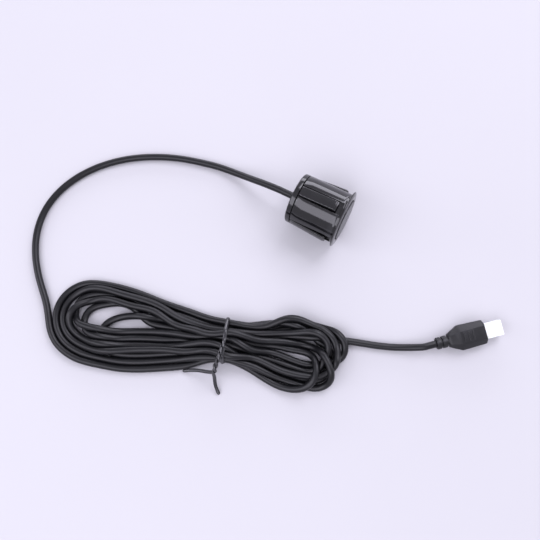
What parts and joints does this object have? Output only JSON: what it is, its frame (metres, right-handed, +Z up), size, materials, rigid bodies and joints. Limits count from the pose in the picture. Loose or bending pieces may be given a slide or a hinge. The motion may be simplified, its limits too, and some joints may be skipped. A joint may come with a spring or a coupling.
{
  "type": "ultrasonic distance sensor",
  "caption": "Round snap-in ultrasonic distance probe with a bezel and four spring wings, on a thin black lead tied in a hank, ending in a moulded two-way plug.",
  "frame": {"origin": "on the surface the probe lies on, under the middle of the probe's box, the lead and plug not counted", "axes": "+Z up, +X along the probe's length towards its sensing face as seen from above, +Y to the probe's left; the probe's own axis is pitched 3.9 degrees nose up"},
  "size_m": [0.1888, 0.1097, 0.0234],
  "materials": {
    "shell": "gloss black moulded ABS",
    "wing": "gloss black moulded ABS, slight sink and draft marks",
    "face": "satin black lacquer on aluminium",
    "silicone": "matt black silicone",
    "ceramic": "fired piezo ceramic",
    "foam": "grey damping foam",
    "filler": "grey silicone filler",
    "core_red": "red wire insulation",
    "core_black": "black wire insulation",
    "core_white": "white wire insulation",
    "shrink": "black heat-shrink sleeve",
    "epoxy": "black potting resin",
    "jacket": "satin black PVC jacket",
    "tie": "black plastic-coated wire",
    "overmould": "satin black PVC moulding",
    "nylon": "natural white nylon",
    "contact": "tinned brass contact"
  },
  "bodies": {
    "probe": {"barrel_housing": "shell", "rear_cap": "shell", "transducer_can": "face", "isolator_sleeve": "silicone", "piezo_disc": "ceramic", "damping_pad": "foam", "can_filler": "filler", "transducer_lead_signal": "core_red", "transducer_lead_ground": "core_black", "splice_sleeve_signal": "shrink", "splice_sleeve_ground": "shrink", "cord_core_signal": "core_red", "cord_core_ground": "core_white", "rear_potting": "epoxy", "cord_entry": "jacket", "rear_grommet": "silicone", "cord_lead": "jacket", "cord_hank": "jacket", "twist_tie": "tie", "cord_plug_lead": "jacket", "plug_overmould": "overmould", "plug_core_signal": "core_red", "plug_core_ground": "core_white", "connector_housing": "nylon", "crimp_contact_signal": "contact", "crimp_contact_ground": "contact"},
    "wing_top": {"snap_wing_top": "wing"},
    "wing_right": {"snap_wing_right": "wing"},
    "wing_bottom": {"snap_wing_bottom": "wing"},
    "wing_left": {"snap_wing_left": "wing"}
  },
  "joints": [
    {"name": "wing_top_flex", "type": "hinge", "parent": "probe", "child": "wing_top", "pos_m": [-0.00833, 0, 0.0204], "axis": [0, 1, 0], "range_deg": [0, 4.5], "stiffness_Nm_per_rad": 0.6},
    {"name": "wing_right_flex", "type": "hinge", "parent": "probe", "child": "wing_right", "pos_m": [-0.00765, -0.00995, 0.01047], "axis": [-0.0681, 0, 0.9977], "range_deg": [0, 4.5], "stiffness_Nm_per_rad": 0.6},
    {"name": "wing_bottom_flex", "type": "hinge", "parent": "probe", "child": "wing_bottom", "pos_m": [-0.00697, 0, 0.00054], "axis": [0, -1, 0], "range_deg": [0, 4.5], "stiffness_Nm_per_rad": 0.6},
    {"name": "wing_left_flex", "type": "hinge", "parent": "probe", "child": "wing_left", "pos_m": [-0.00765, 0.00995, 0.01047], "axis": [0.0681, 0, -0.9977], "range_deg": [0, 4.5], "stiffness_Nm_per_rad": 0.6}
  ]
}
